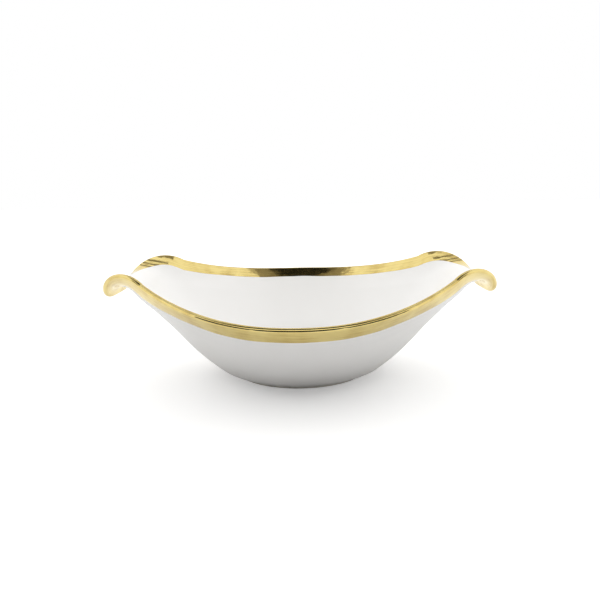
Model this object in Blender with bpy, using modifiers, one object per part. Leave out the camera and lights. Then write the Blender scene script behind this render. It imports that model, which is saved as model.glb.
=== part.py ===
"""Porcelain serving bowl with rolled-over ends and a gilded rim.

A slip-cast bowl shell, a turned foot ring luted under it, and three layers of fired gold: one band
inside the rim, one outside it and one over its edge. The long ends of the rim rise and roll outward
and down, which makes two handles. +X runs through the handles, +Z is up, the foot stands on z = 0.
"""

import math

import bmesh
import bpy
import numpy as np

# Plan and height, all measured to the middle of the wall
SIDE_REACH = 0.1260  # centre to the rim at the low sides
SIDE_HEIGHT = 0.0612  # height of the rim at the low sides
FOOT_RADIUS = 0.0507  # where the wall leaves the foot
NECK_HALF_WIDTH = 0.0264  # the narrowest half width of the rim, which the side curve is added to
TONGUE_SQUARENESS = 4.7  # superellipse exponent of the rim, 2 is an ellipse
SQUARENESS_RISE = 1.35  # how late on the way up the rings turn from round to square
SHOULDER_SPREAD = 1.41  # how far the side curve reaches toward the ends
SHOULDER_RISE = 2.6  # exponent of the rim's climb from side to shoulder
SHOULDER_SHARE = 0.83  # share of the climb made before the rolled end
END_RISE = 13.0  # exponent of the last part of the climb

# Rolled ends
ROLL_RADIUS = 0.0160
ROLL_CENTRE_X = 0.1237
ROLL_CENTRE_Z = 0.0615
ROLL_START = math.radians(52.5)  # slope of the end wall where the roll begins
ROLL_END = math.radians(-92.0)  # slope at the lip

# The handles are troughs: their middle is sunk below their edges
TROUGH = 0.0070  # deepest sinking
TROUGH_LEVEL = 0.5  # share of the way up the wall from which the sinking fades toward the edge
TROUGH_EXPONENT = 4.0  # how late it fades, higher makes a flatter trough with steeper edges
TROUGH_RUN_IN = 0.045  # length of wall over which it grows before the roll
TROUGH_DEEPEST = 0.012  # length past the start of the roll at which it is deepest
TROUGH_AT_LIP = 0.35  # share of it left toward the lip

# Wall slopes and how strongly each one pulls its curve
SIDE_FOOT_SLOPE = math.radians(35.0)
SIDE_RIM_SLOPE = math.radians(49.5)
SIDE_FOOT_PULL = 0.0380
SIDE_RIM_PULL = 0.0290
END_FOOT_SLOPE = math.radians(31.0)
END_FOOT_PULL = 0.0400
END_RIM_PULL = 0.0104

# Wall, floor and foot
WALL = 0.0036
FLOOR_TOP = 0.0098  # inside of the floor
FLOOR_UNDERSIDE = 0.0056
FLOOR_FILLET = 0.0040
FLOOR_FLAT = 0.86  # where the flat of the floor begins, as a share of its outline
FOOT_WIDTH = 0.0065
FOOT_TOE = 0.0012  # upright part at the bottom of the foot ring
FOOT_TOE_CHAMFER = 0.0004
FOOT_HEEL_CHAMFER = 0.0008
FOOT_DRAFT = 0.0010  # how far the inside of the foot ring leans in
FOOT_BELLY_OUT = 0.30  # the bend in the foot's outside, as shares of its overhang and height
FOOT_BELLY_UP = 0.38
FIT_GAP = 0.0003  # clearance between neighbouring pieces

# Gilding
GOLD = 0.0005  # thickness of each gold layer
BAND_WIDTH = 0.0110  # width of the bands, measured from the rim's edge
LIP_CROWN = 0.55  # width of the lip's flat crown, as a share of the wall
LIP_SHOULDER = 0.35  # how far below the crown the lip's chamfers begin

POINTS_AROUND = 112  # a multiple of four
CORNER_CROWDING = 0.022  # length of rim that one radian of turning counts for
SHARP_FROM = math.radians(35.0)
STEPS_ALONG_RING = 1200  # samples along a quarter of a ring before it is divided
RINGS_UP = 120
ROLL_LEVEL = 0.75  # share of the way up the wall where the rolled ends begin
KNEE_LEVEL = 0.70  # where the rings of the mesh begin to stand closer
RINGS_TO_KNEE = 6
RINGS_TO_BAND = 5
RINGS_IN_BAND = 4
EASE_TO_EVEN = 0.06  # how strongly the points even out toward the foot
MERGE_WITHIN = 0.00001

REBATE = GOLD + FIT_GAP


def clear_scene():
    for obj in list(bpy.data.objects):
        bpy.data.objects.remove(obj, do_unlink=True)


def slope(angle):
    return np.array([math.cos(angle), math.sin(angle)])


def bezier(start, start_pull, end_pull, end, u):
    u = u[:, None]
    v = 1.0 - u
    return v**3 * start + 3 * v**2 * u * start_pull + 3 * v * u**2 * end_pull + u**3 * end


def roll_start_point():
    """Where the end wall meets the roll, in x and z."""
    normal = np.array([-math.sin(ROLL_START), math.cos(ROLL_START)])
    return np.array([ROLL_CENTRE_X, ROLL_CENTRE_Z]) + ROLL_RADIUS * normal


def end_profile(v):
    """The wall at the long ends, laid out flat beyond the start of the roll."""
    foot = np.array([FOOT_RADIUS, 0.0])
    start = roll_start_point()
    along = slope(ROLL_START)
    rolled_length = ROLL_RADIUS * (ROLL_START - ROLL_END)
    wall_length = float(np.linalg.norm(start - foot))
    share = wall_length / (wall_length + rolled_length)
    wall = bezier(
        foot,
        foot + END_FOOT_PULL * slope(END_FOOT_SLOPE),
        start - END_RIM_PULL * along,
        start,
        np.clip(v / share, 0.0, 1.0),
    )
    beyond = np.clip((v - share) / (1.0 - share), 0.0, 1.0)
    return wall + rolled_length * beyond[:, None] * along


def side_profile(v):
    foot = np.array([FOOT_RADIUS, 0.0])
    rim = np.array([SIDE_REACH, SIDE_HEIGHT])
    return bezier(
        foot,
        foot + SIDE_FOOT_PULL * slope(SIDE_FOOT_SLOPE),
        rim - SIDE_RIM_PULL * slope(SIDE_RIM_SLOPE),
        rim,
        v,
    )


def eased(value, low, high):
    """0 below low, 1 above high and a smooth step between them."""
    share = np.clip((value - low) / (high - low), 0.0, 1.0)
    return share * share * (3.0 - 2.0 * share)


def sinking(past, level):
    """How far the wall is sunk, by its distance past the start of the roll and its level."""
    rolled_length = ROLL_RADIUS * (ROLL_START - ROLL_END)
    growing = eased(past, -TROUGH_RUN_IN, TROUGH_DEEPEST)
    easing = 1.0 - (1.0 - TROUGH_AT_LIP) * eased(past, TROUGH_DEEPEST, rolled_length)
    to_edge = max(0.0, (level - TROUGH_LEVEL) / (1.0 - TROUGH_LEVEL))
    return TROUGH * growing * easing * (1.0 - to_edge**TROUGH_EXPONENT)


def rolled(x, z, level):
    """Sinks the trough, then wraps what lies past the start of the roll round a cylinder."""
    start = roll_start_point()
    along = slope(ROLL_START)
    normal = np.array([-along[1], along[0]])
    past = (x - start[0]) * along[0] + (z - start[1]) * along[1]
    sunk = sinking(past, level)
    above = (x - start[0]) * normal[0] + (z - start[1]) * normal[1] - sunk
    x = x - sunk * normal[0]
    z = z - sunk * normal[1]
    turned = ROLL_START - past / ROLL_RADIUS
    reach = ROLL_RADIUS + above
    rolled_x = ROLL_CENTRE_X - reach * np.sin(turned)
    rolled_z = ROLL_CENTRE_Z + reach * np.cos(turned)
    return np.where(past > 0, rolled_x, x), np.where(past > 0, rolled_z, z)


def quarter_ring(level, end, side):
    """One level of the wall, from the long end round to the side, as a fine polyline."""
    reach_x, end_z = end
    reach_y, side_z = side
    angle = np.linspace(0.0, math.pi / 2, STEPS_ALONG_RING)
    power = 2.0 + (TONGUE_SQUARENESS - 2.0) * level**SQUARENESS_RISE
    size = (np.cos(angle) ** power + np.sin(angle) ** power) ** (1.0 / power)
    across = np.abs(np.cos(angle)) / size
    half_width = FOOT_RADIUS + (NECK_HALF_WIDTH - FOOT_RADIUS) * level
    bow = np.cos(math.pi / 2 * across / SHOULDER_SPREAD) ** 2
    x = reach_x * across
    y = np.sin(angle) / size * (half_width + (reach_y - half_width) * bow)
    climb = SHOULDER_SHARE * across**SHOULDER_RISE + (1.0 - SHOULDER_SHARE) * across**END_RISE
    z = side_z + (end_z - side_z) * climb
    x, z = rolled(x, z, level)
    x[-1] = 0.0
    y[0] = 0.0
    return np.stack([x, y, z], axis=1)


def shares_of(line, corner_length):
    """How far along a polyline each point is, 0 to 1, with tight corners counted as longer."""
    steps = np.diff(line, axis=0)
    lengths = np.linalg.norm(steps, axis=1)
    headings = steps / lengths[:, None]
    weight = lengths.copy()
    weight[1:] += corner_length * np.linalg.norm(np.diff(headings, axis=0), axis=1)
    travelled = np.concatenate([[0.0], np.cumsum(weight)])
    return travelled / travelled[-1]


def points_at(line, shares, wanted):
    return np.stack([np.interp(wanted, shares, line[:, k]) for k in range(3)], axis=1)


def nearest_shares(line, shares, points):
    """The share along the line that lies nearest to each point."""
    start = line[:-1]
    step = np.diff(line, axis=0)
    found = np.empty(len(points))
    for i, point in enumerate(points):
        along = np.clip(((point - start) * step).sum(axis=1) / (step * step).sum(axis=1), 0.0, 1.0)
        distance = np.linalg.norm(start + along[:, None] * step - point, axis=1)
        k = int(np.argmin(distance))
        found[i] = shares[k] + along[k] * (shares[k + 1] - shares[k])
    found[0] = 0.0
    found[-1] = 1.0
    return found


def full_ring(quarter):
    """Mirrors a quarter into a closed ring that runs anticlockwise from the +X end."""
    back = quarter[::-1][1:]
    half = np.concatenate([quarter, back * [-1.0, 1.0, 1.0]])
    return np.concatenate([half, half[::-1][1:-1] * [1.0, -1.0, 1.0]])


class Wall:
    """The middle surface of the wall, sampled finely, with its outward normals."""

    def __init__(self):
        levels = np.linspace(0.0, 1.0, RINGS_UP + 1)
        ends = end_profile(levels)
        sides = side_profile(levels)
        lines = [quarter_ring(*row) for row in zip(levels, ends, sides)]
        even = np.linspace(0.0, 1.0, POINTS_AROUND // 4 + 1)
        points = points_at(lines[-1], shares_of(lines[-1], CORNER_CROWDING), even)
        rings = [full_ring(points)]
        for level, line in zip(levels[-2::-1], lines[-2::-1]):
            # Straight in from the edge, then more and more evenly spaced toward the foot
            shares = shares_of(line, 0.0)
            straight = nearest_shares(line, shares, points)
            ease = EASE_TO_EVEN * max(0.0, 1.0 - level / ROLL_LEVEL)
            points = points_at(line, shares, straight + ease * (even - straight))
            rings.append(full_ring(points))
        self.points = np.array(rings[::-1])
        up = np.gradient(self.points, axis=0)
        around = np.roll(self.points, -1, axis=1) - np.roll(self.points, 1, axis=1)
        normals = np.cross(around, up)
        self.normals = normals / np.linalg.norm(normals, axis=2, keepdims=True)
        self.levels = levels
        self.from_edge = self.edge_distances()

    def edge_distances(self):
        """Distance of every sample from the rim's edge."""
        start = self.points[-1]
        step = np.roll(start, -1, axis=0) - start
        found = np.full(self.points.shape[:2], np.inf)
        for a, d in zip(start, step):
            offset = self.points - a
            share = np.clip(offset @ d / (d @ d), 0.0, 1.0)
            found = np.minimum(found, np.linalg.norm(offset - share[..., None] * d, axis=2))
        return found

    def ring(self, level, offset):
        """A ring at a level, one number or one per point, moved along the outward normal.

        It comes with a rank, which is higher nearer the edge and, at one level, further out.
        """
        at = np.broadcast_to(level, (POINTS_AROUND,)) * RINGS_UP
        low = np.clip(np.floor(at).astype(int), 0, RINGS_UP - 1)
        share = (at - low)[:, None]
        index = np.arange(POINTS_AROUND)
        points = self.points[low, index] * (1 - share) + self.points[low + 1, index] * share
        normals = self.normals[low, index] * (1 - share) + self.normals[low + 1, index] * share
        normals /= np.linalg.norm(normals, axis=1, keepdims=True)
        return float(np.mean(at)) / RINGS_UP + offset, points + offset * normals

    def level_from_edge(self, distance):
        """For each point round the rim, the level that lies this far in from the edge."""
        found = np.empty(POINTS_AROUND)
        for i in range(POINTS_AROUND):
            column = self.from_edge[::-1, i]
            last = int(np.argmax(column > distance))
            found[i] = np.interp(distance, column[: last + 1], self.levels[::-1][: last + 1])
        return found

    def level_at_height(self, height, offset):
        """For each point round, the level where the face at this offset is this high."""
        heights = self.points[..., 2] + offset * self.normals[..., 2]
        rising = heights[: RINGS_UP // 2]
        return np.array(
            [np.interp(height, rising[:, i], self.levels[: RINGS_UP // 2]) for i in range(POINTS_AROUND)]
        )


def between(first, last, count):
    """Levels spaced evenly from first to last, both included."""
    return [first + (last - first) * k / (count - 1) for k in range(count)]


def loft(name, rings, capped, collection):
    """Joins ranked rings into one closed body. Uncapped rings close on themselves like a band.

    A quad is split along the same diagonal whichever way its rings are passed, so that
    neighbouring pieces made from the same levels keep an even gap where the wall twists.
    """
    bm = bmesh.new()
    ranks = [rank for rank, _ in rings]
    rows = [[bm.verts.new(point) for point in points] for _, points in rings]
    steps = list(zip(range(len(rows)), range(1, len(rows))))
    if not capped:
        steps.append((len(rows) - 1, 0))
    quarter = POINTS_AROUND // 4
    for k, m in steps:
        low, high = rows[k], rows[m]
        for i in range(POINTS_AROUND):
            j = (i + 1) % POINTS_AROUND
            if (ranks[m] > ranks[k]) == (i // quarter % 2 == 0):
                bm.faces.new((low[i], low[j], high[j]))
                bm.faces.new((low[i], high[j], high[i]))
            else:
                bm.faces.new((low[i], low[j], high[i]))
                bm.faces.new((low[j], high[j], high[i]))
    if capped:
        bm.faces.new(rows[0][::-1])
        bm.faces.new(rows[-1])
    bmesh.ops.recalc_face_normals(bm, faces=bm.faces)
    for face in bm.faces:
        face.smooth = True
    mesh = bpy.data.meshes.new(name)
    bm.to_mesh(mesh)
    bm.free()
    mesh.set_sharp_from_angle(angle=SHARP_FROM)
    obj = bpy.data.objects.new(name, mesh)
    collection.objects.link(obj)
    return obj


def make_bowl_body(wall, collection):
    half = WALL / 2
    thin = half - REBATE
    foot_out = wall.level_at_height(FLOOR_UNDERSIDE, half)
    foot_in = wall.level_at_height(FLOOR_TOP - FLOOR_FILLET, -half)
    band = wall.level_from_edge(BAND_WIDTH + FIT_GAP)
    knee = np.full(POINTS_AROUND, KNEE_LEVEL)

    outer = between(foot_out, knee, RINGS_TO_KNEE) + between(knee, band, RINGS_TO_BAND)[1:]
    rebated = [band] + band_levels(wall)
    inner = between(band, knee, RINGS_TO_BAND) + between(knee, foot_in, RINGS_TO_KNEE + 1)[1:]

    rings = [wall.ring(level, half) for level in outer]
    rings[0][1][:, 2] = FLOOR_UNDERSIDE
    rings += [wall.ring(level, thin) for level in rebated]
    rings += [wall.ring(level, -thin) for level in reversed(rebated)]
    rings += [settled(wall.ring(level, -half)) for level in inner]
    rank, points = rings[-1]
    rings.append((rank - 1.0, points * [FLOOR_FLAT, FLOOR_FLAT, 0.0] + [0.0, 0.0, FLOOR_TOP]))
    return loft("bowl_body", rings, True, collection)


def settled(ring):
    """Eases the inner face into the flat floor."""
    rank, points = ring
    over = points[:, 2] - FLOOR_TOP
    points[:, 2] = FLOOR_TOP + (over + np.sqrt(over**2 + FLOOR_FILLET**2 / 2)) / 2
    return rank, points


def band_levels(wall):
    low = wall.level_from_edge(BAND_WIDTH)
    return between(low, wall.level_from_edge(REBATE), RINGS_IN_BAND)


def make_band(name, wall, side, collection):
    """A gold band lying in its rebate. Side is 1 for the outer face and -1 for the inner one."""
    face = side * WALL / 2
    back = side * (WALL / 2 - GOLD)
    levels = band_levels(wall)
    rings = [wall.ring(level, face) for level in levels]
    rings += [wall.ring(level, back) for level in reversed(levels)]
    return loft(name, rings, False, collection)


def make_rim_edge(wall, collection):
    low = wall.level_from_edge(GOLD)
    high = np.ones(POINTS_AROUND)
    shoulder = high - (high - low) * LIP_SHOULDER
    half = WALL / 2
    crown = half * LIP_CROWN
    rings = [
        wall.ring(low, half),
        wall.ring(shoulder, half),
        wall.ring(high, crown),
        wall.ring(high, -crown),
        wall.ring(shoulder, -half),
        wall.ring(low, -half),
    ]
    return loft("gold_rim_edge", rings, False, collection)


def make_foot_ring(wall, collection):
    """Turned ring whose outer face carries on the slope of the wall above it."""
    top = FLOOR_UNDERSIDE - FIT_GAP
    _, rim = wall.ring(wall.level_at_height(FLOOR_UNDERSIDE, WALL / 2), WALL / 2)
    shoulder = float(np.linalg.norm(rim[:, :2], axis=1).min()) - FIT_GAP
    toe = FOOT_RADIUS
    heel = toe - FOOT_WIDTH
    belly_x = toe + (shoulder - toe) * FOOT_BELLY_OUT
    belly_z = FOOT_TOE + (top - FOOT_TOE) * FOOT_BELLY_UP
    profile = [
        (shoulder, top),
        (belly_x, belly_z),
        (toe, FOOT_TOE),
        (toe - FOOT_TOE_CHAMFER, 0.0),
        (heel + FOOT_HEEL_CHAMFER, 0.0),
        (heel, FOOT_TOE),
        (heel - FOOT_DRAFT, top),
    ]
    mesh = bpy.data.meshes.new("foot_ring")
    edges = [(i, (i + 1) % len(profile)) for i in range(len(profile))]
    mesh.from_pydata([(x, 0.0, z) for x, z in profile], edges, [])
    obj = bpy.data.objects.new("foot_ring", mesh)
    collection.objects.link(obj)
    screw = obj.modifiers.new("Turn", "SCREW")
    screw.axis = "Z"
    screw.angle = math.tau
    screw.steps = POINTS_AROUND
    screw.render_steps = POINTS_AROUND
    screw.use_merge_vertices = True
    screw.merge_threshold = MERGE_WITHIN
    screw.use_smooth_shade = True
    return obj


def make_material(name, colour, metallic, roughness):
    material = bpy.data.materials.new(name)
    material.use_nodes = True
    shader = material.node_tree.nodes["Principled BSDF"]
    shader.inputs["Base Color"].default_value = (*colour, 1.0)
    shader.inputs["Metallic"].default_value = metallic
    shader.inputs["Roughness"].default_value = roughness
    return material


def main():
    clear_scene()
    collection = bpy.data.collections.new("serving_bowl")
    bpy.context.scene.collection.children.link(collection)
    wall = Wall()
    pieces = {
        "glazed_porcelain": [make_bowl_body(wall, collection)],
        "unglazed_porcelain": [make_foot_ring(wall, collection)],
        "fired_gold": [
            make_band("gold_band_inner", wall, -1, collection),
            make_band("gold_band_outer", wall, 1, collection),
            make_rim_edge(wall, collection),
        ],
    }
    looks = {
        "glazed_porcelain": ((0.87, 0.86, 0.84), 0.0, 0.12),
        "unglazed_porcelain": ((0.80, 0.78, 0.74), 0.0, 0.55),
        "fired_gold": ((0.80, 0.58, 0.22), 1.0, 0.15),
    }
    for slot, objects in pieces.items():
        material = make_material(slot, *looks[slot])
        for obj in objects:
            obj.data.materials.append(material)


main()
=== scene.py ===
"""Porcelain serving bowl with rolled-over ends and a gilded rim: the finished look.

Each piece has its own operator: the glazed shell, the foot ring, the two gold bands with the gold
over the lip, and the stage. +X runs through the handles, +Z is up, the foot stands on z = 0.
"""

import functools
import math

import bmesh
import bpy
import numpy as np
from bpy.props import FloatProperty, FloatVectorProperty, PointerProperty
from mathutils import Matrix, Vector


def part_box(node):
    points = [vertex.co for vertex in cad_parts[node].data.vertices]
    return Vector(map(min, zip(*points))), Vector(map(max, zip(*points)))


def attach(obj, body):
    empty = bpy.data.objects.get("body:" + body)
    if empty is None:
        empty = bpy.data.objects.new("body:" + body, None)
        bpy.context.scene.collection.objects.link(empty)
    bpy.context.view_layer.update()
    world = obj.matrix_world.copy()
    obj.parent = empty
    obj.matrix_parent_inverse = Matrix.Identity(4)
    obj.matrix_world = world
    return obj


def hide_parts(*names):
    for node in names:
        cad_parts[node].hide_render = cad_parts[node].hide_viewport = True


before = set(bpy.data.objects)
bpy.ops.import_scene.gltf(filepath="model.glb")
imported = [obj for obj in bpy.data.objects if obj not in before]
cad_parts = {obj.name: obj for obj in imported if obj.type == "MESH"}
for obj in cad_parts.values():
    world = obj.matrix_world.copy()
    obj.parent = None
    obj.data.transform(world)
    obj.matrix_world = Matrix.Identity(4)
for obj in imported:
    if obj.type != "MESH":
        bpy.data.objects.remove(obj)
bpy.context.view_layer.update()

bl_info = {
    "name": "Gilded Serving Bowl",
    "version": (1, 0, 0),
    "blender": (4, 5, 0),
    "location": "View3D > Sidebar > Serving Bowl",
    "description": "Builds a porcelain serving bowl with rolled handles and a fired gold rim",
    "category": "Add Mesh",
}

TABLE_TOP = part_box("foot_ring")[0].z

# How finely the wall is sampled
POINTS_AROUND = 336  # a multiple of four
RINGS_UP = 160
FINE_STEPS = 1200  # samples along a quarter of a ring before it is divided
CORNER_CROWDING = 0.022  # length of rim that one radian of turning counts for
ROLL_LEVEL = 0.75  # share of the way up the wall where the rolled ends begin
EASE_TO_EVEN = 0.06  # how fast the points even out below the roll

# Rings of the meshes
KNEE_LEVEL = 0.70  # the rings lie closer above it, where the wall rolls over
RINGS_TO_KNEE = 26
RINGS_TO_LIP = 34
RINGS_OVER_LIP = 13
RINGS_IN_BAND = 12
UNDERSIDE_RINGS = (0.25, 0.5, 0.75, 0.9)  # as shares of the foot's radius
FLOOR_RINGS = (0.93, 0.86, 0.7, 0.5, 0.25)
UNDERSIDE_DISH = 0.0006
SHARP_FROM = math.radians(40.0)

# Foot ring
FOOT_JOINT = 0.00004  # gap between the foot and the floor over it
FOOT_INSET = 0.0001  # how far its top lies inside the wall above
FOOT_ROUNDING = 0.0007
FOOT_DRAFT = 0.0010  # how far its inside leans out toward the floor
FOOT_BELLY = 0.30  # 1 is a straight side, less is a hollower one
FOOT_SIDE_STEPS = 8
FOOT_CORNER_STEPS = 6
FOOT_TURNS = 192
MERGE_WITHIN = 0.00001

# Gold
FILM_SEAT = 0.9  # how deep the film reaches, as a share of its bed in the glaze
INNER_WAVES = ((7, 0.4), (13, 2.1), (29, 4.0))  # turns round the rim, and where each begins
OUTER_WAVES = ((6, 1.1), (11, 3.3), (31, 0.2))
BRUSH_MAP = "Brush run"  # along the rim and across it, in metres
MARK_LENGTH = 20  # how many times as long as it is wide a brush mark is

# Stage
MIDDLE = Vector((0.0, 0.0, 0.045))  # of the bowl, where lights, cards and camera point
FLOOR_SIZE = 8.0
FLOOR_GAP = 0.0002
SIDE_SOFTBOX = (0.9, 1.2)
SIDE_PLACE = (0.85, 0.1, 0.9)
BACK_SOFTBOX = (1.6, 0.6)
BACK_PLACE = (0.0, 0.8, 0.8)
LENS_MM = 35.1
SENSOR_MM = 36.0
LENS_RISE = 0.0182
NEAR_CLIP = 0.02


def linear(hex_colour, alpha=None):
    """An sRGB hex colour as linear light."""
    values = [int(hex_colour[i : i + 2], 16) / 255 for i in (1, 3, 5)]
    light = [v / 12.92 if v <= 0.04045 else ((v + 0.055) / 1.055) ** 2.4 for v in values]
    return tuple(light) if alpha is None else (*light, alpha)


def length(name, description, default):
    return FloatProperty(
        name=name, description=description, default=default, min=0.0, unit="LENGTH", precision=5
    )


def angle(name, description, degrees):
    return FloatProperty(
        name=name, description=description, default=math.radians(degrees), subtype="ANGLE"
    )


def colour(name, description, hex_colour):
    return FloatVectorProperty(
        name=name,
        description=description,
        default=linear(hex_colour),
        subtype="COLOR",
        size=3,
        min=0.0,
        max=1.0,
    )


def share(name, description, default, most=1.0):
    return FloatProperty(name=name, description=description, default=default, min=0.0, max=most)


class BowlShape(bpy.types.PropertyGroup):
    """Sizes of the wall, measured to its middle, and of the foot."""

    side_reach: length("Side Reach", "Centre to the rim at the low sides", 0.1260)
    side_height: length("Side Height", "Height of the rim at the low sides", 0.0612)
    foot_radius: length("Foot Radius", "Where the wall leaves the foot", 0.0507)
    neck_half_width: length("Neck Half Width", "Half width of the rolled ends' neck", 0.0264)
    squareness: share("End Squareness", "Superellipse exponent of the rim", 4.7, 8.0)
    squareness_rise: share("Squareness Rise", "How late the rings turn square", 1.35, 4.0)
    shoulder_spread: share("Shoulder Spread", "Reach of the side curve to the ends", 1.41, 3.0)
    shoulder_rise: share("Shoulder Rise", "Exponent of the rim's climb", 2.6, 6.0)
    shoulder_share: share("Shoulder Share", "Share of the climb before the rolled end", 0.83)
    end_rise: share("End Rise", "Exponent of the last part of the climb", 13.0, 30.0)
    roll_radius: length("Roll Radius", "Radius of the rolled ends", 0.0160)
    roll_centre_x: length("Roll Centre X", "How far out the roll's centre lies", 0.1237)
    roll_centre_z: length("Roll Centre Z", "How high the roll's centre lies", 0.0615)
    roll_start: angle("Roll Start", "Slope of the wall where the roll begins", 52.5)
    roll_end: angle("Roll End", "Slope at the lip of the roll", -92.0)
    trough: length("Trough", "How far the middle of a handle is sunk", 0.0070)
    trough_level: share("Trough Level", "Level from which the trough fades to the edge", 0.5)
    trough_exponent: share("Trough Exponent", "How late the trough fades to the edge", 4.0, 12.0)
    trough_run_in: length("Trough Run In", "Wall over which the trough grows", 0.045)
    trough_deepest: length("Trough Deepest", "Roll at which the trough is deepest", 0.012)
    trough_at_lip: share("Trough At Lip", "Share of the trough left toward the lip", 0.35)
    side_foot_slope: angle("Side Foot Slope", "Slope of the side wall at the foot", 35.0)
    side_rim_slope: angle("Side Rim Slope", "Slope of the side wall at the rim", 49.5)
    side_foot_pull: length("Side Foot Pull", "Pull of the side curve at the foot", 0.0380)
    side_rim_pull: length("Side Rim Pull", "Pull of the side curve at the rim", 0.0290)
    end_foot_slope: angle("End Foot Slope", "Slope of the end wall at the foot", 31.0)
    end_foot_pull: length("End Foot Pull", "Pull of the end curve at the foot", 0.0400)
    end_rim_pull: length("End Rim Pull", "Pull of the end curve at the roll", 0.0104)
    wall: length("Wall", "Thickness of the fired wall", 0.0036)
    lip_rounding: length("Lip Rounding", "How far in from the edge the lip is rounded", 0.0013)
    floor_top: length("Floor Top", "Height of the inside of the floor", 0.0098)
    floor_underside: length("Floor Underside", "Height of the floor's underside", 0.0056)
    floor_fillet: length("Floor Fillet", "Easing of the wall into the floor", 0.0040)
    foot_width: length("Foot Width", "Width of the foot ring", 0.0065)


class BowlFinish(bpy.types.PropertyGroup):
    """Colours and surface of the glaze, the bare foot and the gold."""

    glaze_colour: colour("Glaze", "Colour of the porcelain under clear glaze", "#F1F0EE")
    glaze_pool_colour: colour("Pooled Glaze", "Colour where the glaze lies thick", "#E3E1DE")
    glaze_roughness: share("Glaze Roughness", "Roughness of the clear glaze", 0.30)
    biscuit_colour: colour("Bare Foot", "Colour of the unglazed foot", "#DDD8CE")
    biscuit_grit: length("Foot Grit", "Grain size of the bare foot", 0.0006)
    gold_colour: colour("Gold", "Colour of the fired gold", "#F1DC92")
    gold_thin_colour: colour("Thin Gold", "Colour where the brush left less gold", "#DAC077")
    gold_roughness: share("Gold Roughness", "Roughness of the fired gold", 0.10)
    gold_film: length("Gold Film", "How far the gold stands on the glaze", 0.00008)
    inner_band: length("Inner Band", "Width of the gold band inside the rim", 0.0110)
    outer_band: length("Outer Band", "Width of the gold band outside the rim", 0.0110)
    brush_wander: length("Brush Wander", "How far the bands' edges stray from true", 0.00025)
    brush_width: length("Brush Mark Width", "Width of one brush mark in the gold", 0.0012)


class BowlStage(bpy.types.PropertyGroup):
    """Floor, light and camera."""

    floor_colour: colour("Floor", "Colour of the paper floor", "#EFEFEF")
    backdrop: share("Backdrop", "Brightness of the white backdrop", 1.0, 4.0)
    surround: share("Surround", "Strength of the light from all round", 1.02, 4.0)
    table_glow: share("Table Glow", "How brightly the table is lit from beneath", 0.30, 2.0)
    back: share("Back", "Power of the back softbox in watts", 2.0, 100.0)
    sides: share("Sides", "Power of each side softbox in watts", 2.6, 100.0)
    camera_distance: length("Camera Distance", "Camera to the bowl's middle", 0.450)
    camera_height: angle("Camera Elevation", "How far above level the camera is", 12.0)
    camera_turn: angle("Camera Turn", "How far round the bowl the camera is", 0.99)
    camera_roll: angle("Camera Roll", "How far the camera leans", -1.03)


# ---------------------------------------------------------------------------------------------
# The wall


def slope(tilt):
    return np.array([math.cos(tilt), math.sin(tilt)])


def bezier(start, start_pull, end_pull, end, u):
    u = u[:, None]
    v = 1.0 - u
    return v**3 * start + 3 * v**2 * u * start_pull + 3 * v * u**2 * end_pull + u**3 * end


def eased(value, low, high):
    """0 below low, 1 above high and a smooth step between them."""
    part = np.clip((value - low) / (high - low), 0.0, 1.0)
    return part * part * (3.0 - 2.0 * part)


def shares_of(line, corner_length):
    """How far along a polyline each point is, 0 to 1, with tight corners counted as longer."""
    steps = np.diff(line, axis=0)
    lengths = np.linalg.norm(steps, axis=1)
    headings = steps / lengths[:, None]
    weight = lengths.copy()
    weight[1:] += corner_length * np.linalg.norm(np.diff(headings, axis=0), axis=1)
    travelled = np.concatenate([[0.0], np.cumsum(weight)])
    return travelled / travelled[-1]


def points_at(line, shares, wanted):
    return np.stack([np.interp(wanted, shares, line[:, k]) for k in range(3)], axis=1)


def nearest_shares(line, shares, points):
    """The share along the line that lies nearest to each point."""
    start = line[:-1]
    step = np.diff(line, axis=0)
    found = np.empty(len(points))
    for i, point in enumerate(points):
        along = np.clip(((point - start) * step).sum(axis=1) / (step * step).sum(axis=1), 0.0, 1.0)
        distance = np.linalg.norm(start + along[:, None] * step - point, axis=1)
        k = int(np.argmin(distance))
        found[i] = shares[k] + along[k] * (shares[k + 1] - shares[k])
    found[0] = 0.0
    found[-1] = 1.0
    return found


def full_ring(quarter):
    """Mirrors a quarter into a closed ring that runs anticlockwise from the +X end."""
    back = quarter[::-1][1:]
    half = np.concatenate([quarter, back * [-1.0, 1.0, 1.0]])
    return np.concatenate([half, half[::-1][1:-1] * [1.0, -1.0, 1.0]])


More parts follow.
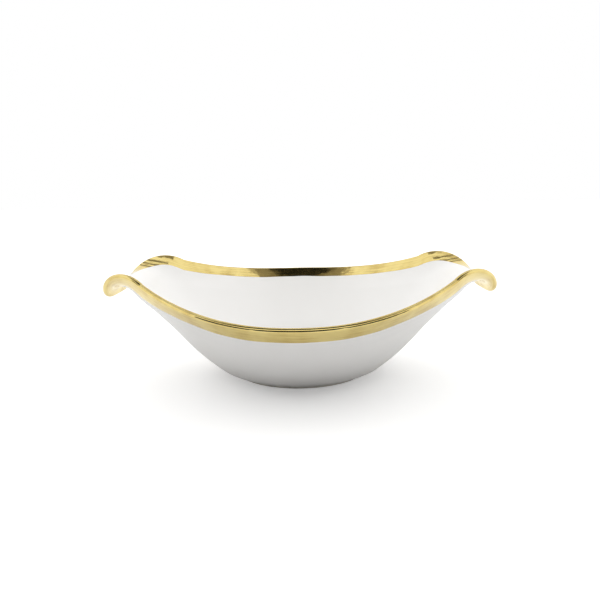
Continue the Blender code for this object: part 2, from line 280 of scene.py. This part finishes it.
class Wall:
    """The middle surface of the wall, sampled finely, with its outward normals."""

    def __init__(self, shape):
        self.shape = shape
        levels = np.linspace(0.0, 1.0, RINGS_UP + 1)
        rows = zip(levels, self.end_profile(levels), self.side_profile(levels))
        lines = [self.quarter_ring(*row) for row in rows]
        even = np.linspace(0.0, 1.0, POINTS_AROUND // 4 + 1)
        points = points_at(lines[-1], shares_of(lines[-1], CORNER_CROWDING), even)
        rings = [full_ring(points)]
        for level, line in zip(levels[-2::-1], lines[-2::-1]):
            # Straight in from the edge, then more and more evenly spaced toward the foot
            shares = shares_of(line, 0.0)
            straight = nearest_shares(line, shares, points)
            ease = EASE_TO_EVEN * max(0.0, 1.0 - level / ROLL_LEVEL)
            points = points_at(line, shares, straight + ease * (even - straight))
            rings.append(full_ring(points))
        self.points = np.array(rings[::-1])
        up = np.gradient(self.points, axis=0)
        around = np.roll(self.points, -1, axis=1) - np.roll(self.points, 1, axis=1)
        normals = np.cross(around, up)
        self.normals = normals / np.linalg.norm(normals, axis=2, keepdims=True)
        self.levels = levels
        self.from_edge = self.edge_distances()
        self.along = self.edge_run()

    def roll_start_point(self):
        """Where the end wall meets the roll, in x and z."""
        shape = self.shape
        normal = np.array([-math.sin(shape.roll_start), math.cos(shape.roll_start)])
        return np.array([shape.roll_centre_x, shape.roll_centre_z]) + shape.roll_radius * normal

    def end_profile(self, v):
        """The wall at the long ends, laid out flat beyond the start of the roll."""
        shape = self.shape
        foot = np.array([shape.foot_radius, 0.0])
        start = self.roll_start_point()
        along = slope(shape.roll_start)
        rolled_length = shape.roll_radius * (shape.roll_start - shape.roll_end)
        wall_length = float(np.linalg.norm(start - foot))
        part = wall_length / (wall_length + rolled_length)
        wall = bezier(
            foot,
            foot + shape.end_foot_pull * slope(shape.end_foot_slope),
            start - shape.end_rim_pull * along,
            start,
            np.clip(v / part, 0.0, 1.0),
        )
        beyond = np.clip((v - part) / (1.0 - part), 0.0, 1.0)
        return wall + rolled_length * beyond[:, None] * along

    def side_profile(self, v):
        shape = self.shape
        foot = np.array([shape.foot_radius, 0.0])
        rim = np.array([shape.side_reach, shape.side_height])
        return bezier(
            foot,
            foot + shape.side_foot_pull * slope(shape.side_foot_slope),
            rim - shape.side_rim_pull * slope(shape.side_rim_slope),
            rim,
            v,
        )

    def sinking(self, past, level):
        """How far the wall is sunk, by its distance past the start of the roll and its level."""
        shape = self.shape
        rolled_length = shape.roll_radius * (shape.roll_start - shape.roll_end)
        growing = eased(past, -shape.trough_run_in, shape.trough_deepest)
        falling = eased(past, shape.trough_deepest, rolled_length)
        easing = 1.0 - (1.0 - shape.trough_at_lip) * falling
        to_edge = max(0.0, (level - shape.trough_level) / (1.0 - shape.trough_level))
        return shape.trough * growing * easing * (1.0 - to_edge**shape.trough_exponent)

    def rolled(self, x, z, level):
        """Sinks the trough, then wraps what lies past the start of the roll round a cylinder."""
        shape = self.shape
        start = self.roll_start_point()
        along = slope(shape.roll_start)
        normal = np.array([-along[1], along[0]])
        past = (x - start[0]) * along[0] + (z - start[1]) * along[1]
        sunk = self.sinking(past, level)
        above = (x - start[0]) * normal[0] + (z - start[1]) * normal[1] - sunk
        x = x - sunk * normal[0]
        z = z - sunk * normal[1]
        turned = shape.roll_start - past / shape.roll_radius
        reach = shape.roll_radius + above
        rolled_x = shape.roll_centre_x - reach * np.sin(turned)
        rolled_z = shape.roll_centre_z + reach * np.cos(turned)
        return np.where(past > 0, rolled_x, x), np.where(past > 0, rolled_z, z)

    def quarter_ring(self, level, end, side):
        """One level of the wall, from the long end round to the side, as a fine polyline."""
        shape = self.shape
        reach_x, end_z = end
        reach_y, side_z = side
        turn = np.linspace(0.0, math.pi / 2, FINE_STEPS)
        power = 2.0 + (shape.squareness - 2.0) * level**shape.squareness_rise
        size = (np.cos(turn) ** power + np.sin(turn) ** power) ** (1.0 / power)
        across = np.abs(np.cos(turn)) / size
        half_width = shape.foot_radius + (shape.neck_half_width - shape.foot_radius) * level
        bow = np.cos(math.pi / 2 * across / shape.shoulder_spread) ** 2
        x = reach_x * across
        y = np.sin(turn) / size * (half_width + (reach_y - half_width) * bow)
        shoulder = shape.shoulder_share * across**shape.shoulder_rise
        climb = shoulder + (1.0 - shape.shoulder_share) * across**shape.end_rise
        z = side_z + (end_z - side_z) * climb
        x, z = self.rolled(x, z, level)
        x[-1] = 0.0
        y[0] = 0.0
        return np.stack([x, y, z], axis=1)

    def edge_distances(self):
        """Distance of every sample from the rim's edge."""
        start = self.points[-1]
        step = np.roll(start, -1, axis=0) - start
        found = np.full(self.points.shape[:2], np.inf)
        for a, d in zip(start, step):
            offset = self.points - a
            part = np.clip(offset @ d / (d @ d), 0.0, 1.0)
            found = np.minimum(found, np.linalg.norm(offset - part[..., None] * d, axis=2))
        return found

    def edge_run(self):
        """Length along the rim's edge at each point, with the full turn as the last entry."""
        edge = self.points[-1]
        steps = np.linalg.norm(np.roll(edge, -1, axis=0) - edge, axis=1)
        return np.concatenate([[0.0], np.cumsum(steps)])

    def ring(self, level, offset):
        """A ring at a level, one number or one per point, moved along the outward normal."""
        at = np.broadcast_to(level, (POINTS_AROUND,)) * RINGS_UP
        low = np.clip(np.floor(at).astype(int), 0, RINGS_UP - 1)
        part = (at - low)[:, None]
        index = np.arange(POINTS_AROUND)
        points = self.points[low, index] * (1 - part) + self.points[low + 1, index] * part
        normals = self.normals[low, index] * (1 - part) + self.normals[low + 1, index] * part
        normals /= np.linalg.norm(normals, axis=1, keepdims=True)
        return points + offset * normals

    def level_from_edge(self, distance):
        """For each point round the rim, the level that lies this far in from the edge."""
        wanted = np.broadcast_to(distance, (POINTS_AROUND,))
        found = np.empty(POINTS_AROUND)
        for i in range(POINTS_AROUND):
            column = self.from_edge[::-1, i]
            last = int(np.argmax(column > wanted[i]))
            found[i] = np.interp(wanted[i], column[: last + 1], self.levels[::-1][: last + 1])
        return found

    def level_at_height(self, height, offset):
        """For each point round, the level where the face at this offset is this high."""
        heights = self.points[..., 2] + offset * self.normals[..., 2]
        half = RINGS_UP // 2
        return np.array(
            [np.interp(height, heights[:half, i], self.levels[:half]) for i in range(POINTS_AROUND)]
        )

    def lip_ring(self, turn, depth):
        """A ring on the rounded lip: turn 0 is outside, pi inside, and depth is below the gold."""
        rounding = self.shape.lip_rounding
        inward = rounding - (rounding - depth) * math.sin(turn)
        offset = (self.shape.wall / 2 - depth) * math.cos(turn)
        return self.ring(self.level_from_edge(inward), offset)


@functools.lru_cache(maxsize=1)
def wall_for(scene_name):
    return Wall(bpy.data.scenes[scene_name].bowl_shape)


def lip_turns():
    """Turns over the rounded lip, from the outside to the inside."""
    return np.linspace(0.0, math.pi, RINGS_OVER_LIP)


def between(first, last, count):
    """Levels spaced evenly from first to last, both included."""
    return [first + (last - first) * k / (count - 1) for k in range(count)]


# ---------------------------------------------------------------------------------------------
# Meshes


def ring_mesh(name, rings, along, closed):
    """Joins rings into a body: closed on themselves like a band, or capped with a middle point.

    Its map runs along the rim and across it in metres, for brush marks that follow the rim.
    """
    bm = bmesh.new()
    uv = bm.loops.layers.uv.new(BRUSH_MAP)
    rows = [[bm.verts.new(point) for point in ring] for ring in rings]
    gaps = [float(np.linalg.norm(b - a, axis=1).mean()) for a, b in zip(rings, rings[1:])]
    across = [0.0, *np.cumsum(gaps)]
    pairs = [(k, k + 1, across[k], across[k + 1]) for k in range(len(rows) - 1)]
    if closed:
        back = float(np.linalg.norm(rings[0] - rings[-1], axis=1).mean())
        pairs.append((len(rows) - 1, 0, across[-1], across[-1] + back))
    for k, m, low, high in pairs:
        for i in range(POINTS_AROUND):
            j = (i + 1) % POINTS_AROUND
            face = bm.faces.new((rows[k][i], rows[k][j], rows[m][j], rows[m][i]))
            places = ((along[i], low), (along[i + 1], low), (along[i + 1], high), (along[i], high))
            for loop, place in zip(face.loops, places):
                loop[uv].uv = place
    if not closed:
        for row, ring in ((rows[0], rings[0]), (rows[-1], rings[-1])):
            middle = bm.verts.new(ring.mean(axis=0))
            for i in range(POINTS_AROUND):
                bm.faces.new((row[i], row[(i + 1) % POINTS_AROUND], middle))
    bmesh.ops.recalc_face_normals(bm, faces=bm.faces)
    for face in bm.faces:
        face.smooth = True
    mesh = bpy.data.meshes.new(name)
    bm.to_mesh(mesh)
    bm.free()
    mesh.set_sharp_from_angle(angle=SHARP_FROM)
    obj = bpy.data.objects.new(name, mesh)
    bpy.context.scene.collection.objects.link(obj)
    return obj


def finish_piece(obj, material, slot, *nodes):
    obj.data.materials.append(material)
    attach(obj, "root")
    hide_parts(*nodes)


def wandering(wall, amount, waves):
    """How far a hand-drawn line strays at each point of the rim, as a sum of slow waves."""
    run = wall.along[:-1] / wall.along[-1] * math.tau
    total = sum(np.sin(turns * run + shift) for turns, shift in waves)
    return amount * total / len(waves)


def make_shell(shape, finish):
    """Fired shell with its rounded lip, its eased floor and its slightly dished underside."""
    wall = wall_for(bpy.context.scene.name)
    half = shape.wall / 2 - finish.gold_film
    foot_out = wall.level_at_height(shape.floor_underside, half)
    foot_in = wall.level_at_height(shape.floor_top - shape.floor_fillet, -half)
    knee = np.full(POINTS_AROUND, KNEE_LEVEL)
    lip = wall.level_from_edge(shape.lip_rounding)

    outer = between(foot_out, knee, RINGS_TO_KNEE) + between(knee, lip, RINGS_TO_LIP)[1:-1]
    inner = between(lip, knee, RINGS_TO_LIP)[1:] + between(knee, foot_in, RINGS_TO_KNEE)[1:]
    rings = [wall.ring(level, half) for level in outer]
    rings[0][:, 2] = shape.floor_underside
    underside = []
    for part in UNDERSIDE_RINGS:
        dish = UNDERSIDE_DISH * (1 - part * part)
        underside.append(rings[0] * [part, part, 1.0] + [0.0, 0.0, dish])
    rings += [wall.lip_ring(turn, finish.gold_film) for turn in lip_turns()]
    for level in inner:
        ring = wall.ring(level, -half)
        over = ring[:, 2] - shape.floor_top
        ring[:, 2] = shape.floor_top + (over + np.sqrt(over**2 + shape.floor_fillet**2 / 2)) / 2
        rings.append(ring)
    floor = []
    for part in FLOOR_RINGS:
        ring = rings[-1] * [part, part, 0.0]
        ring[:, 2] = shape.floor_top
        floor.append(ring)
    obj = ring_mesh("porcelain_shell", underside + rings + floor, wall.along, False)
    finish_piece(obj, glazed_porcelain(finish), "glazed_porcelain", "bowl_body")


def make_foot(shape, finish):
    """Turned foot ring, its outside running on from the wall and its toe softly rounded."""
    wall = wall_for(bpy.context.scene.name)
    half = shape.wall / 2
    top = shape.floor_underside - FOOT_JOINT
    above = wall.ring(wall.level_at_height(shape.floor_underside, half), half)
    shoulder = float(np.linalg.norm(above[:, :2], axis=1).min()) - FOOT_INSET
    toe = shape.foot_radius
    heel = toe - shape.foot_width
    rounding = FOOT_ROUNDING
    profile = [(shoulder, top)]
    for part in np.linspace(0.0, 1.0, FOOT_SIDE_STEPS)[1:]:
        hollow = FOOT_BELLY + (1 - FOOT_BELLY) * (1 - part)
        x = toe + (shoulder - toe) * (1 - part) * hollow
        profile.append((x, top + (rounding - top) * part))
    corner = np.linspace(0.0, math.pi / 2, FOOT_CORNER_STEPS)
    for turn in corner[1:]:
        x = toe - rounding + rounding * math.cos(turn)
        profile.append((x, rounding - rounding * math.sin(turn)))
    for turn in corner:
        x = heel + rounding - rounding * math.sin(turn)
        profile.append((x, rounding - rounding * math.cos(turn)))
    profile.append((heel - FOOT_DRAFT, top))
    mesh = bpy.data.meshes.new("turned_foot")
    edges = [(i, (i + 1) % len(profile)) for i in range(len(profile))]
    mesh.from_pydata([(x, 0.0, z) for x, z in profile], edges, [])
    obj = bpy.data.objects.new("turned_foot", mesh)
    bpy.context.scene.collection.objects.link(obj)
    screw = obj.modifiers.new("Turn", "SCREW")
    screw.axis = "Z"
    screw.angle = math.tau
    screw.steps = FOOT_TURNS
    screw.render_steps = FOOT_TURNS
    screw.use_merge_vertices = True
    screw.merge_threshold = MERGE_WITHIN
    screw.use_smooth_shade = True
    finish_piece(obj, wiped_foot(finish), "unglazed_porcelain", "foot_ring")


def make_gilding(shape, finish):
    """Gold brushed on the glaze: a band inside the rim, one outside, and the lip between them."""
    wall = wall_for(bpy.context.scene.name)
    gold = brushed_gold(finish)
    film = finish.gold_film
    lip = wall.level_from_edge(shape.lip_rounding)
    bands = (
        ("gold_band_inside", -1, finish.inner_band, INNER_WAVES, "gold_band_inner"),
        ("gold_band_outside", 1, finish.outer_band, OUTER_WAVES, "gold_band_outer"),
    )
    for name, side, width, waves, node in bands:
        low = wall.level_from_edge(width + wandering(wall, finish.brush_wander, waves))
        levels = between(low, lip, RINGS_IN_BAND)
        face = side * shape.wall / 2
        back = side * (shape.wall / 2 - film * FILM_SEAT)
        rings = [wall.ring(level, face) for level in levels]
        rings += [wall.ring(level, back) for level in reversed(levels)]
        finish_piece(ring_mesh(name, rings, wall.along, True), gold, "fired_gold", node)
    rings = [wall.lip_ring(turn, 0.0) for turn in lip_turns()]
    rings += [wall.lip_ring(turn, film * FILM_SEAT) for turn in lip_turns()[::-1]]
    obj = ring_mesh("gold_lip", rings, wall.along, True)
    finish_piece(obj, gold, "fired_gold", "gold_rim_edge")


# ---------------------------------------------------------------------------------------------
# Materials


def scale_for(millimetres):
    """Scale of a pattern whose marks lie this far apart."""
    return 1000 / millimetres


def add_node(tree, kind, settings=None, **sockets):
    """Adds a node, sets its properties, and sets or links its sockets by name, or by place as s0."""
    node = tree.nodes.new(kind)
    for key, value in (settings or {}).items():
        setattr(node, key, value)
    for key, value in sockets.items():
        socket = node.inputs[int(key[1:])] if key[1:].isdigit() else node.inputs[key.replace("_", " ")]
        if isinstance(value, bpy.types.NodeSocket):
            tree.links.new(value, socket)
        else:
            socket.default_value = value
    return node


def new_material(name):
    material = bpy.data.materials.new(name)
    material.use_nodes = True
    tree = material.node_tree
    return material, tree, tree.nodes["Principled BSDF"]


def link(tree, shader, **sockets):
    for key, value in sockets.items():
        tree.links.new(value, shader.inputs[key.replace("_", " ")])


def glazed_porcelain(finish):
    """Hard porcelain, slip-cast and clear glazed: a soft white body under a glassy skin.

    The glaze lies a little wavy, like fine orange peel, and greys slightly where it pools.
    """
    material, tree, shader = new_material("Glazed porcelain")
    shader.inputs["IOR"].default_value = 1.5
    shader.inputs["Coat Weight"].default_value = 0.15
    shader.inputs["Coat Roughness"].default_value = 0.04
    shader.inputs["Coat IOR"].default_value = 1.5
    place = add_node(tree, "ShaderNodeTexCoord").outputs["Object"]
    height = add_node(tree, "ShaderNodeSeparateXYZ", Vector=place).outputs["Z"]

    cloud = add_node(tree, "ShaderNodeTexNoise", Vector=place, Scale=scale_for(45), Detail=3.0)
    pooled = add_node(
        tree, "ShaderNodeMapRange", {"interpolation_type": "SMOOTHSTEP"}, Value=height,
        From_Min=0.022, From_Max=0.006, To_Min=0.0, To_Max=0.75,
    )
    pooling = add_node(
        tree, "ShaderNodeMath", {"operation": "MULTIPLY_ADD"},
        s0=cloud.outputs["Fac"], s1=0.3, s2=pooled.outputs["Result"],
    )
    tint = add_node(
        tree, "ShaderNodeMix", {"data_type": "RGBA"}, s0=pooling.outputs[0],
        s6=(*finish.glaze_colour, 1.0), s7=(*finish.glaze_pool_colour, 1.0),
    )
    rough = add_node(
        tree, "ShaderNodeMapRange", Value=cloud.outputs["Fac"], From_Min=0.3, From_Max=0.7,
        To_Min=finish.glaze_roughness, To_Max=finish.glaze_roughness * 1.3,
    )
    # Orange peel about 2.5 mm apart, and slower waves where the slip shrank
    peel = add_node(tree, "ShaderNodeTexNoise", Vector=place, Scale=scale_for(2.5), Detail=1.0)
    sway = add_node(tree, "ShaderNodeTexNoise", Vector=place, Scale=scale_for(28), Detail=0.0)
    waves = add_node(
        tree, "ShaderNodeBump", Height=sway.outputs["Fac"], Strength=0.15, Distance=0.0003
    )
    bump = add_node(
        tree, "ShaderNodeBump", Height=peel.outputs["Fac"], Strength=0.12, Distance=0.00003,
        Normal=waves.outputs["Normal"],
    )
    link(
        tree, shader, Base_Color=tint.outputs[2], Roughness=rough.outputs["Result"],
        Normal=bump.outputs["Normal"], Coat_Normal=bump.outputs["Normal"],
    )
    return material


def wiped_foot(finish):
    """Porcelain foot, glazed down its side and wiped bare at the toe before firing.

    The bare toe is dry and finely gritty, and takes a little grey from the surfaces it stands on.
    """
    material, tree, shader = new_material("Wiped porcelain foot")
    shader.inputs["IOR"].default_value = 1.5
    place = add_node(tree, "ShaderNodeTexCoord").outputs["Object"]
    height = add_node(tree, "ShaderNodeSeparateXYZ", Vector=place).outputs["Z"]
    ragged = add_node(tree, "ShaderNodeTexNoise", Vector=place, Scale=scale_for(4), Detail=2.0)
    line = add_node(
        tree, "ShaderNodeMath", {"operation": "MULTIPLY_ADD"},
        s0=ragged.outputs["Fac"], s1=0.0008, s2=height,
    )
    bare = add_node(
        tree, "ShaderNodeMapRange", Value=line.outputs[0], From_Min=0.0022, From_Max=0.0017,
        To_Min=0.0, To_Max=1.0,
    ).outputs["Result"]
    # Real grit is about a third of this size, too fine to show
    grain = scale_for(1000 * finish.biscuit_grit)
    grit = add_node(tree, "ShaderNodeTexNoise", Vector=place, Scale=grain, Detail=4.0)
    scuff = add_node(tree, "ShaderNodeTexNoise", Vector=place, Scale=scale_for(6), Detail=6.0)
    worn = add_node(
        tree, "ShaderNodeMapRange", Value=scuff.outputs["Fac"], From_Min=0.52, From_Max=0.68,
        To_Min=0.0, To_Max=0.5,
    )
    toe = add_node(
        tree, "ShaderNodeMix", {"data_type": "RGBA"}, s0=worn.outputs["Result"],
        s6=(*finish.biscuit_colour, 1.0), s7=linear("#A8A49C", 1.0),
    )
    tint = add_node(
        tree, "ShaderNodeMix", {"data_type": "RGBA"}, s0=bare,
        s6=(*finish.glaze_pool_colour, 1.0), s7=toe.outputs[2],
    )
    rough = add_node(
        tree, "ShaderNodeMapRange", Value=bare, From_Min=0.0, From_Max=1.0,
        To_Min=finish.glaze_roughness, To_Max=0.7,
    )
    bump = add_node(
        tree, "ShaderNodeBump", Height=grit.outputs["Fac"], Strength=bare, Distance=0.00006
    )
    link(
        tree, shader, Base_Color=tint.outputs[2], Roughness=rough.outputs["Result"],
        Normal=bump.outputs["Normal"],
    )
    return material


def brushed_gold(finish):
    """Bright gold, brushed on over the glaze and fired: a mirror with faint marks of the brush.

    The film follows the glaze, so its reflections waver, and thin places look browner and duller.
    """
    material, tree, shader = new_material("Fired bright gold")
    shader.inputs["Metallic"].default_value = 1.0
    place = add_node(tree, "ShaderNodeTexCoord").outputs["Object"]
    run = add_node(tree, "ShaderNodeUVMap", {"uv_map": BRUSH_MAP}).outputs["UV"]
    across = scale_for(1000 * finish.brush_width)
    stretched = add_node(
        tree, "ShaderNodeMapping", Vector=run, Scale=(across / MARK_LENGTH, across, 1.0)
    )
    marks = add_node(
        tree, "ShaderNodeTexNoise", Vector=stretched.outputs["Vector"], Scale=1.0, Detail=3.0
    )
    cloud = add_node(tree, "ShaderNodeTexNoise", Vector=place, Scale=scale_for(14), Detail=2.0)
    thin = add_node(
        tree, "ShaderNodeMath", {"operation": "MULTIPLY"},
        s0=marks.outputs["Fac"], s1=cloud.outputs["Fac"],
    )
    thinness = add_node(
        tree, "ShaderNodeMapRange", Value=thin.outputs[0], From_Min=0.18, From_Max=0.38,
        To_Min=0.0, To_Max=1.0,
    ).outputs["Result"]
    tint = add_node(
        tree, "ShaderNodeMix", {"data_type": "RGBA"}, s0=thinness,
        s6=(*finish.gold_colour, 1.0), s7=(*finish.gold_thin_colour, 1.0),
    )
    rough = add_node(
        tree, "ShaderNodeMapRange", Value=thinness, From_Min=0.0, From_Max=1.0,
        To_Min=finish.gold_roughness * 0.7, To_Max=finish.gold_roughness * 1.6,
    )
    sway = add_node(tree, "ShaderNodeTexNoise", Vector=place, Scale=scale_for(7), Detail=1.0)
    waves = add_node(
        tree, "ShaderNodeBump", Height=sway.outputs["Fac"], Strength=0.6, Distance=0.0002
    )
    bump = add_node(
        tree, "ShaderNodeBump", Height=marks.outputs["Fac"], Strength=0.5, Distance=0.00002,
        Normal=waves.outputs["Normal"],
    )
    link(
        tree, shader, Base_Color=tint.outputs[2], Roughness=rough.outputs["Result"],
        Normal=bump.outputs["Normal"],
    )
    return material


def studio_paper(stage):
    """White seamless paper, rolled out flat: matte, with a fine felted tooth."""
    material, tree, shader = new_material("Seamless paper")
    shader.inputs["Base Color"].default_value = (*stage.floor_colour, 1.0)
    shader.inputs["Roughness"].default_value = 0.9
    shader.inputs["Emission Color"].default_value = (1.0, 1.0, 1.0, 1.0)
    # Only the camera sees the glow, so the bowl mirrors plain paper
    seen = add_node(tree, "ShaderNodeLightPath").outputs["Is Camera Ray"]
    glow = add_node(tree, "ShaderNodeMapRange", Value=seen, To_Min=0.0, To_Max=stage.table_glow)
    link(tree, shader, Emission_Strength=glow.outputs["Result"])
    place = add_node(tree, "ShaderNodeTexCoord").outputs["Object"]
    # The tooth of real paper is finer, and is drawn as coarse as it needs to show
    tooth = add_node(tree, "ShaderNodeTexNoise", Vector=place, Scale=scale_for(1.2), Detail=2.0)
    bump = add_node(
        tree, "ShaderNodeBump", Height=tooth.outputs["Fac"], Strength=0.1, Distance=0.00005
    )
    link(tree, shader, Normal=bump.outputs["Normal"])
    return material


def felt(name, hex_colour):
    """Felt on card, dead matte: it gives the gold something darker than the paper to mirror."""
    material, tree, shader = new_material(name)
    shader.inputs["Base Color"].default_value = linear(hex_colour, 1.0)
    shader.inputs["Roughness"].default_value = 1.0
    return material


# ---------------------------------------------------------------------------------------------
# Stage


def flat_board(name, width, depth, material):
    bm = bmesh.new()
    bmesh.ops.create_grid(bm, x_segments=2, y_segments=2, size=0.5)
    bmesh.ops.scale(bm, vec=(width, depth, 1.0), verts=bm.verts)
    mesh = bpy.data.meshes.new(name)
    bm.to_mesh(mesh)
    bm.free()
    mesh.materials.append(material)
    obj = bpy.data.objects.new(name, mesh)
    bpy.context.scene.collection.objects.link(obj)
    return obj


def aimed(obj, place, target):
    obj.location = place
    direction = Vector(target) - Vector(place)
    obj.rotation_euler = direction.to_track_quat("-Z", "Y").to_euler()


def softbox(name, power, width, depth, place, target):
    light = bpy.data.lights.new(name, "AREA")
    light.shape = "RECTANGLE"
    light.size = width
    light.size_y = depth
    light.energy = power
    obj = bpy.data.objects.new(name, light)
    bpy.context.scene.collection.objects.link(obj)
    aimed(obj, place, target)
    obj.visible_camera = False
    obj.visible_glossy = False


def make_floor(stage):
    floor = flat_board("paper_floor", FLOOR_SIZE, FLOOR_SIZE, studio_paper(stage))
    floor.location.z = TABLE_TOP - FLOOR_GAP


def make_surround(stage):
    """An even white surround, whose backdrop is as bright as the camera needs it."""
    world = bpy.data.worlds.new("White surround")
    world.use_nodes = True
    tree = world.node_tree
    background = tree.nodes["Background"]
    background.inputs["Color"].default_value = (1.0, 1.0, 1.0, 1.0)
    seen = add_node(tree, "ShaderNodeLightPath").outputs["Is Camera Ray"]
    strength = add_node(
        tree, "ShaderNodeMapRange", Value=seen, To_Min=stage.surround, To_Max=stage.backdrop
    )
    link(tree, background, Strength=strength.outputs["Result"])
    bpy.context.scene.world = world


def make_lights(stage):
    softbox("Back softbox", stage.back, *BACK_SOFTBOX, BACK_PLACE, MIDDLE)
    x, y, z = SIDE_PLACE
    softbox("Left softbox", stage.sides, *SIDE_SOFTBOX, (-x, y, z), MIDDLE)
    softbox("Right softbox", stage.sides, *SIDE_SOFTBOX, (x, y, z), MIDDLE)


def make_cards():
    """Cards for the gold to mirror. Only the front one also shades the bowl.

    The front card, its wings and the overhead card draw the dark line along the lip and darken
    the middle of the far rim, and the grey strips streak the far shoulders.
    """
    black = felt("Black felt", "#0C0B0A")
    grey = felt("Grey felt", "#8A847A")
    # Width, height, place, cloth, and whether the card shades the bowl
    cards = (
        ("front_card", 1.6, 0.85, (0.0, -1.0, 0.45), black, True),
        ("left_wing", 0.8, 0.8, (-1.05, -0.70, 0.45), black, False),
        ("right_wing", 0.8, 0.8, (1.05, -0.70, 0.45), black, False),
        ("overhead_card", 0.95, 0.34, (0.0, -0.15, 0.80), black, False),
        ("overhead_border", 1.45, 0.50, (0.0, -0.10, 0.84), grey, False),
        ("rear_strip_low", 1.3, 0.09, (0.0, 0.68, 0.78), grey, False),
        ("rear_strip_middle", 1.3, 0.09, (0.0, 0.53, 0.89), grey, False),
        ("rear_strip_high", 1.3, 0.09, (0.0, 0.36, 0.98), grey, False),
    )
    for name, width, height, place, cloth, shades in cards:
        card = flat_board(name, width, height, cloth)
        aimed(card, place, MIDDLE)
        card.visible_camera = False
        card.visible_diffuse = shades
        card.visible_shadow = shades


def make_camera(stage):
    data = bpy.data.cameras.new("Studio camera")
    data.lens = LENS_MM
    data.sensor_width = SENSOR_MM
    data.shift_y = LENS_RISE
    data.clip_start = NEAR_CLIP
    camera = bpy.data.objects.new("Studio camera", data)
    bpy.context.scene.collection.objects.link(camera)
    away = stage.camera_distance * math.cos(stage.camera_height)
    up = stage.camera_distance * math.sin(stage.camera_height)
    right = away * math.sin(stage.camera_turn)
    place = MIDDLE + Vector((right, -away * math.cos(stage.camera_turn), up))
    aimed(camera, place, MIDDLE)
    roll = Matrix.Rotation(stage.camera_roll, 4, "Z")
    camera.matrix_world = camera.rotation_euler.to_matrix().to_4x4() @ roll
    camera.location = place
    bpy.context.scene.camera = camera


def make_stage(stage):
    """Paper floor, white surround, softboxes, cards for the gold to mirror, and the camera."""
    make_floor(stage)
    make_surround(stage)
    make_lights(stage)
    make_cards()
    make_camera(stage)
    bpy.context.scene.view_settings.view_transform = "Standard"


# ---------------------------------------------------------------------------------------------
# Operators, panel and registration


class BOWL_OT_shell(bpy.types.Operator):
    """Build the glazed porcelain shell"""

    bl_idname = "serving_bowl.shell"
    bl_label = "Glazed Shell"

    def execute(self, context):
        make_shell(context.scene.bowl_shape, context.scene.bowl_finish)
        return {"FINISHED"}


class BOWL_OT_foot(bpy.types.Operator):
    """Build the turned foot ring"""

    bl_idname = "serving_bowl.foot"
    bl_label = "Foot Ring"

    def execute(self, context):
        make_foot(context.scene.bowl_shape, context.scene.bowl_finish)
        return {"FINISHED"}


class BOWL_OT_gilding(bpy.types.Operator):
    """Build the gold bands and the gold over the lip"""

    bl_idname = "serving_bowl.gilding"
    bl_label = "Gilding"

    def execute(self, context):
        make_gilding(context.scene.bowl_shape, context.scene.bowl_finish)
        return {"FINISHED"}


class BOWL_OT_stage(bpy.types.Operator):
    """Set up the floor, the light and the camera"""

    bl_idname = "serving_bowl.stage"
    bl_label = "Stage"

    def execute(self, context):
        make_stage(context.scene.bowl_stage)
        return {"FINISHED"}


class BOWL_PT_panel(bpy.types.Panel):
    """Sizes, finishes and the steps that build the bowl"""

    bl_idname = "BOWL_PT_panel"
    bl_label = "Serving Bowl"
    bl_space_type = "VIEW_3D"
    bl_region_type = "UI"
    bl_category = "Serving Bowl"

    def draw(self, context):
        layout = self.layout
        scene = context.scene
        for group in (scene.bowl_shape, scene.bowl_finish, scene.bowl_stage):
            box = layout.box()
            for key in group.__annotations__:
                box.prop(group, key)
        for operator in (BOWL_OT_shell, BOWL_OT_foot, BOWL_OT_gilding, BOWL_OT_stage):
            layout.operator(operator.bl_idname)


CLASSES = (
    BowlShape,
    BowlFinish,
    BowlStage,
    BOWL_OT_shell,
    BOWL_OT_foot,
    BOWL_OT_gilding,
    BOWL_OT_stage,
    BOWL_PT_panel,
)


def register():
    for cls in CLASSES:
        bpy.utils.register_class(cls)
    bpy.types.Scene.bowl_shape = PointerProperty(type=BowlShape)
    bpy.types.Scene.bowl_finish = PointerProperty(type=BowlFinish)
    bpy.types.Scene.bowl_stage = PointerProperty(type=BowlStage)


def unregister():
    del bpy.types.Scene.bowl_stage
    del bpy.types.Scene.bowl_finish
    del bpy.types.Scene.bowl_shape
    for cls in reversed(CLASSES):
        bpy.utils.unregister_class(cls)


def main():
    register()
    bpy.ops.serving_bowl.shell()
    bpy.ops.serving_bowl.foot()
    bpy.ops.serving_bowl.gilding()
    bpy.ops.serving_bowl.stage()


if __name__ == "__main__":
    main()
